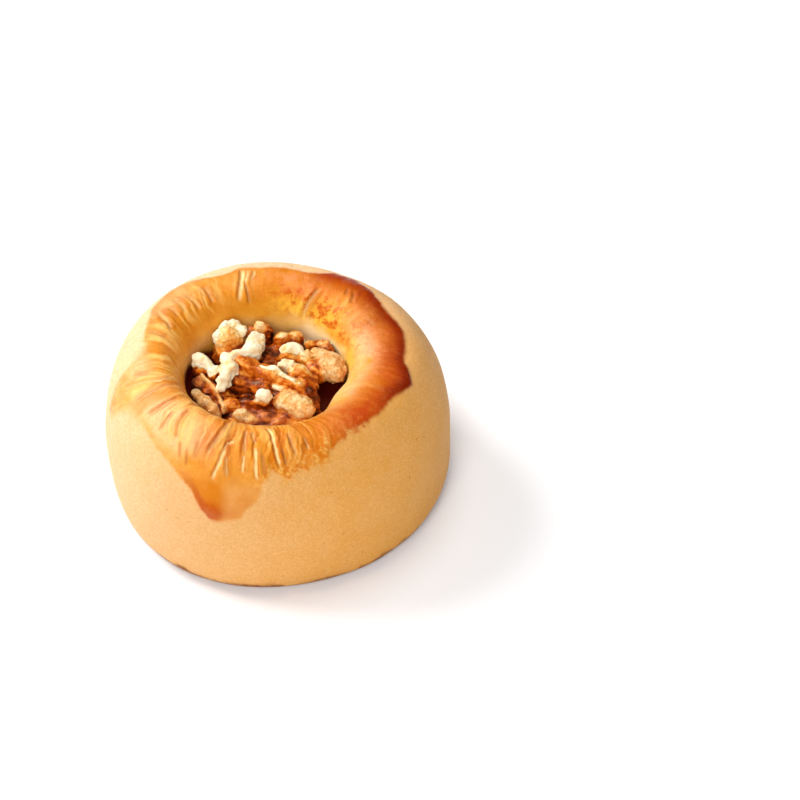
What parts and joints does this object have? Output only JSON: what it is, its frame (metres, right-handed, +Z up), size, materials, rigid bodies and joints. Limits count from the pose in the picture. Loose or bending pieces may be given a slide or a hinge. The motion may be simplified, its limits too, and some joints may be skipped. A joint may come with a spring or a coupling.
{
  "type": "manju",
  "caption": "Baked sweet bun with a flat foot and a dish pressed into its glazed, creased top, which is filled with broken walnut.",
  "frame": {"origin": "centre of the flat foot: the middle of the bounding box, on its bottom face", "axes": "+Z is up, out of the dish. -Y is the side with the broad drip of glaze, which faces the viewer. +X is to the viewer's right, where the glaze runs down furthest on the shoulder."},
  "size_m": [0.0614, 0.059, 0.0303],
  "materials": {
    "dough": "matte baked dough, with a glossy orange-brown egg wash over the ring round the dish",
    "walnut": "satin brown skin with dry, cream-coloured broken faces"
  },
  "bodies": {
    "root": {"bun": "dough", "walnut_kernel": "walnut", "walnut_knob": "walnut", "walnut_left": "walnut", "walnut_back": "walnut", "walnut_back_right": "walnut", "walnut_low_left": "walnut"}
  },
  "joints": []
}
